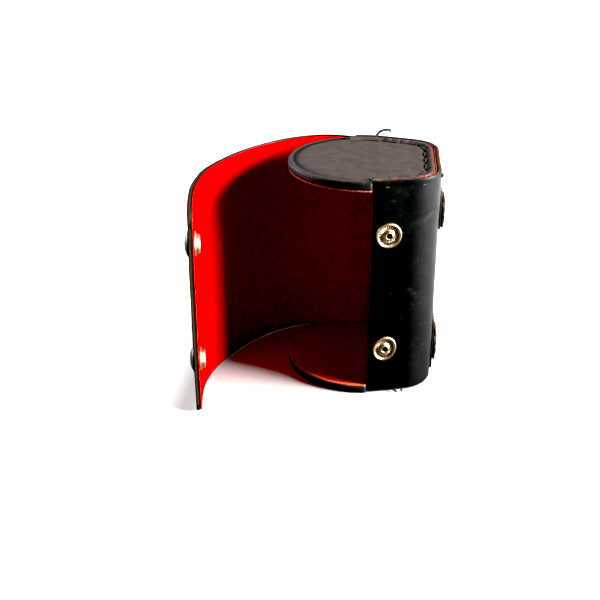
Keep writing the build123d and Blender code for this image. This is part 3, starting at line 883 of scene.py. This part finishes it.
def socket_pieces(which, height):
    """A socket on the flap's end panel, with its ring spring and the domed cap outside."""
    at, _ = FLAP.at(ARCS[-1] + SNAP_TO_HINGE)
    seat = frame_of(at - unit(TIP_HEADING - 90) * HALF_T, TIP_HEADING, height, flip=True)
    mouth = 2.5
    ring = [(5.9, 0.0), (6.1, 0.12), (6.1, 0.4), (5.9, 0.55), (4.95, 0.62), (4.8, 0.9), (4.75, mouth - 0.25),
            (4.4, mouth), (3.6, mouth), (3.35, mouth - 0.3), (3.3, 0.45)]
    socket = lathe(which + "_socket_skin", ring, seat, [NICKEL], 64)
    placed(socket, "flap_tip", "nickel", which + "_socket")
    floor = [(3.4, 0.5), (2.5, 0.5), (2.4, 0.85), (1.9, 0.95), (0.5, 0.9), (0.0, 0.88)]
    base = lathe(which + "_socket_floor", floor, seat, [NICKEL], 40)
    placed(base, "flap_tip", "nickel")
    coil = [tuple(seat @ Vector((3.05 * math.cos(a), 3.05 * math.sin(a), 1.6)))
            for a in np.linspace(0, 2 * math.pi * 0.94, 41)]
    spring = twisted_thread(which + "_spring_skin", [coil], 0.24, STEEL, 400.0)
    placed(spring, "flap_tip", "spring_steel", which + "_socket_spring")

    def battered(r, z, angle):
        return r, z + 0.05 * lumpy(r * math.cos(angle), r * math.sin(angle), height, 2.2) * min(1, r)

    top = -2 * HALF_T
    dome = [(2.0, top + 0.1), (6.2, top), (6.55, top - 0.08), (6.6, top - 0.25), (6.45, top - 0.42),
            (6.05, top - 0.7), (5.4, top - 1.08), (4.5, top - 1.46), (3.5, top - 1.76), (2.4, top - 1.96),
            (1.2, top - 2.07), (0.0, top - 2.1)]
    cap = lathe(which + "_cap_skin", dome, seat, [LACQUER], 56, battered)
    placed(cap, "flap_tip", "black_lacquer", which + "_cap")


# ---------------------------------------------------------------- strap loops
def rivet_pieces(which, side, y, height):
    """A domed head outside the strap loop and a flat tail inside the wall."""
    place = frame_of((FLAT_X, y), 90, height)
    dome = [(1.6, 2.8), (2.42, 2.85), (2.3, 3.0), (1.9, 3.2), (1.3, 3.4), (0.7, 3.55), (0.0, 3.6)]
    head = lathe(f"{which}_{side}_rivet_skin", dome, place, [LACQUER], 32)
    placed(head, "case", "black_rivet", f"{which}_loop_{side}_rivet")
    inner = -(PLATE_INSET + 0.02)
    flat = [(1.0, inner + 0.05), (2.2, inner), (2.35, inner - 0.15), (2.2, inner - 0.38), (0.0, inner - 0.45)]
    tail = lathe(f"{which}_{side}_rivet_tail", flat, place, [STEEL], 28)
    placed(tail, "case", "black_rivet")


def loop_pieces(which, low, high, loop_low, loop_high):
    """A backing patch on the flat end, the leather band riveted over it, and the patch's stitches."""
    seat, long = FLAT_X + 0.05, 32.0
    face = seat + 1.2

    def corner(s):
        near = min(s, long - s, 2.5)
        return 2.5 - math.sqrt(max(0.0, 6.25 - (2.5 - near) ** 2))

    patch_path = legs_path((seat + 0.6, -long / 2), 90, [(long, 0)])
    ends = [0.1, 0.3, 0.7, 1.2, 1.9, 2.5] + [long - d for d in (2.5, 1.9, 1.2, 0.7, 0.3, 0.1)]
    stations = sorted(set(stations_between(0, long, 1.5) + ends))
    patch = curled_sheet(which + "_patch_skin", patch_path, stations, (0.6, -0.6), lambda s: low + corner(s),
                         lambda s: high - corner(s), [WALL_BLACK, RAW])
    placed(patch, "case", "black_leather", which + "_loop_patch")
    band_path = legs_path((face + 0.8, -15.5), 90, [(4.6, 0), (1.6, -32), (1.7, 32), (15.2, 0), (1.7, 32),
                                                    (1.6, -32), (4.6, 0)], 0.5)
    total = band_path.s[-1]
    stations = sorted(set(list(np.linspace(0, total, 44))
                          + [0.1, 0.3, 0.6, total - 0.6, total - 0.3, total - 0.1]))
    wear = lambda s, z: 0.12 * lumpy(s, 1, z, 6)
    band = curled_sheet(which + "_loop_skin", band_path, stations, (0.75, -0.75), constant(loop_low),
                        constant(loop_high), [WALL_BLACK, RAW], wear, row=1.4)
    placed(band, "case", "black_leather", which + "_strap_loop")
    for side, y in (("front", -13.0), ("back", 13.0)):
        rivet_pieces(which, side, y, (loop_low + loop_high) / 2)
    lines = [[(face + 0.02, y + 2.6 * t / 8, z) for t in range(9)]
             for z in (low + 1.6, high - 1.6) for y in np.arange(7) * 4.0 - 13.2]
    seam = twisted_thread(which + "_patch_seam", lines, 0.28, THREAD, 1.4)
    placed(seam, "case", "thread")


wall_pieces()
flap_pieces()
plate_pieces()
seam_pieces()
for which, height in SNAPS.items():
    stud_pieces(which, height)
    socket_pieces(which, height)
for which, heights in LOOPS.items():
    loop_pieces(which, *heights)
for board in ("top_board", "bottom_board"):
    recolour(board, BOARD)


# ---------------------------------------------------------------- studio
def softbox(name, place, aim, width, height, power):
    """A rectangular area light at place, facing aim."""
    data = bpy.data.lights.new(name, "AREA")
    data.shape = "RECTANGLE"
    data.size, data.size_y, data.energy = width, height, power
    lamp = bpy.data.objects.new(name, data)
    bpy.context.scene.collection.objects.link(lamp)
    lamp.location = place
    lamp.rotation_euler = (Vector(aim) - Vector(place)).to_track_quat("-Z", "Y").to_euler()


bpy.ops.mesh.primitive_plane_add(size=8.0, location=(0, 0, -0.0002))
floor = bpy.context.object
floor.name = "studio_floor"
floor.data.materials.append(floor_material())
softbox("key", (1.10, -0.12, 0.39), (0, 0, 0.06), 0.68, 0.58, 330.0)
softbox("back", (-0.55, 1.05, 1.15), (-0.1, 0, 0), 1.5, 0.5, 32.0)
softbox("fill", (-1.05, 0.30, 0.45), (-0.05, 0, 0.06), 0.9, 0.8, 50.0)

# the backdrop is white to the camera and nearly black as a light
world = bpy.data.worlds.new("studio")
bpy.context.scene.world = world
world.use_nodes = True
backdrop = world.node_tree.nodes["Background"]
backdrop.inputs["Color"].default_value = (1, 1, 1, 1)
strength = world.node_tree.nodes.new("ShaderNodeMapRange")
strength.inputs["To Min"].default_value = 0.01
seen = world.node_tree.nodes.new("ShaderNodeLightPath").outputs["Is Camera Ray"]
world.node_tree.links.new(seen, strength.inputs["Value"])
world.node_tree.links.new(strength.outputs[0], backdrop.inputs["Strength"])

camera_data = bpy.data.cameras.new("camera")
camera_data.sensor_width = 36.0
camera_data.lens = 60.03
camera = bpy.data.objects.new("camera", camera_data)
camera.location = (0.0076, -0.5019, 0.2751)
camera.rotation_euler = (math.radians(64.506), 0, math.radians(4.708))
bpy.context.scene.collection.objects.link(camera)
bpy.context.scene.camera = camera
view = bpy.context.scene.view_settings
view.view_transform = "Standard"
view.exposure = 0.0
view.use_curve_mapping = True
tone = view.curve_mapping
tone.black_level = (0.018, 0.016, 0.016)
tone.update()
